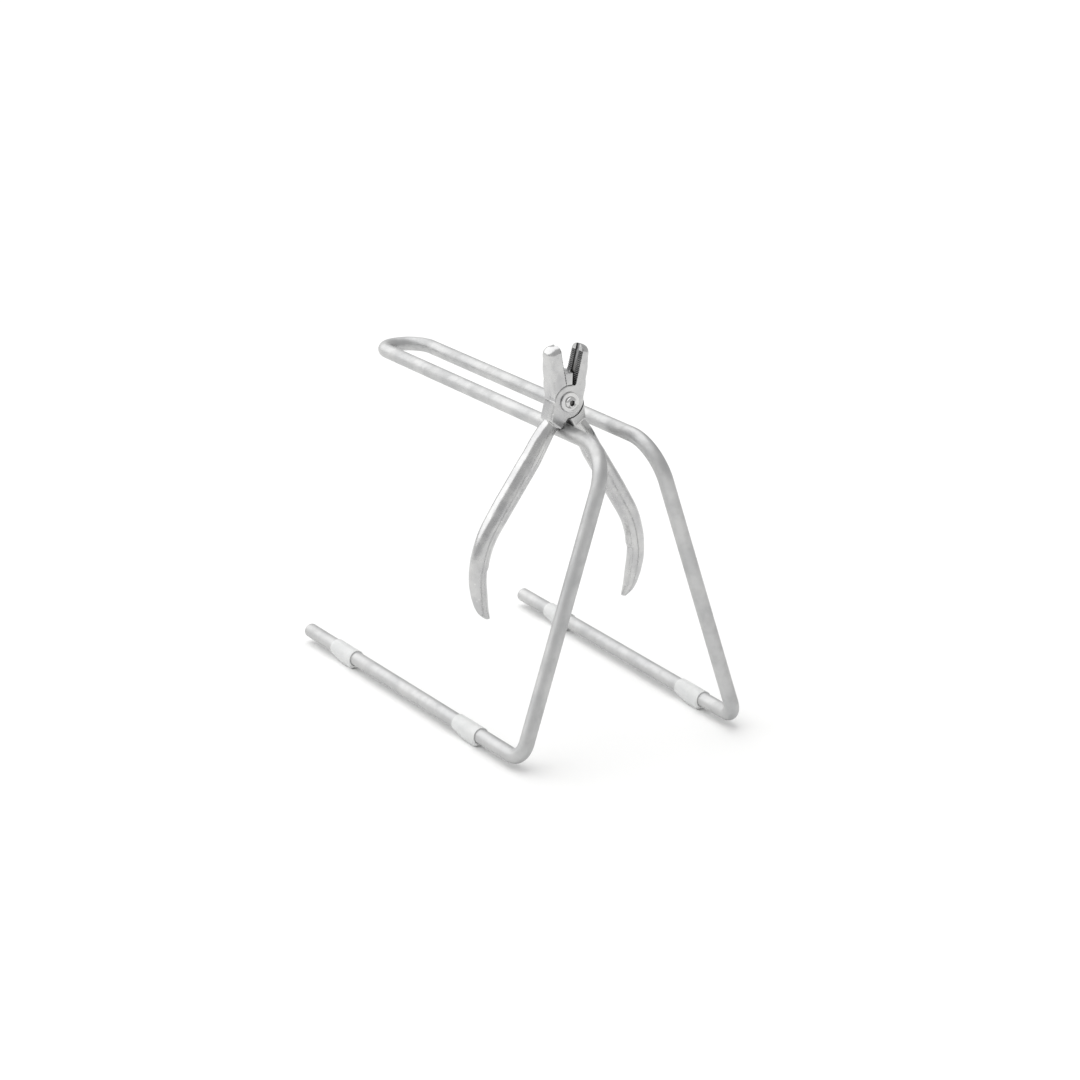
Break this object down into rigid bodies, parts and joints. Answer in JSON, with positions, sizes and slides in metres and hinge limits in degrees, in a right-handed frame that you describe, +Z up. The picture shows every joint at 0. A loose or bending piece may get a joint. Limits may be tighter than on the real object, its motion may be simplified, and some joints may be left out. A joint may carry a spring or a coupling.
{
  "type": "pliers stand",
  "caption": "Free-standing bench stand bent from one round rod, with soft sleeve feet and parallel rails, carrying riveted serrated-jaw pliers hung astride a rail.",
  "frame": {"origin": "on the bench surface, under the middle of the whole part's box", "axes": "+Z up; +Y along the rails from the uprights to the closed end; +X from the rail with the pliers to the free rail"},
  "size_m": [0.1506, 0.2614, 0.2057],
  "materials": {
    "rod_steel": "satin plated round bar",
    "foot_plastic": "soft, slightly translucent",
    "pliers_steel": "nickel plated, bright",
    "pivot_steel": "polished"
  },
  "bodies": {
    "stand": {"rack_rod": "rod_steel", "foot_front_left": "foot_plastic", "foot_front_right": "foot_plastic", "foot_rear_left": "foot_plastic", "foot_rear_right": "foot_plastic"},
    "back_half": {"pliers_back_half": "pliers_steel", "pivot_rivet": "pivot_steel", "pivot_washer": "pivot_steel"},
    "front_half": {"pliers_front_half": "pliers_steel"}
  },
  "joints": [
    {"name": "rail_slide", "type": "slide", "parent": "stand", "child": "back_half", "axis": [0, 1, 0], "range_m": [-0.018, 0.178]},
    {"name": "pliers_pivot", "type": "hinge", "parent": "back_half", "child": "front_half", "pos_m": [-0.0142, -0.07331, 0.17689], "axis": [0, 1, 0], "range_deg": [0, 42]}
  ]
}
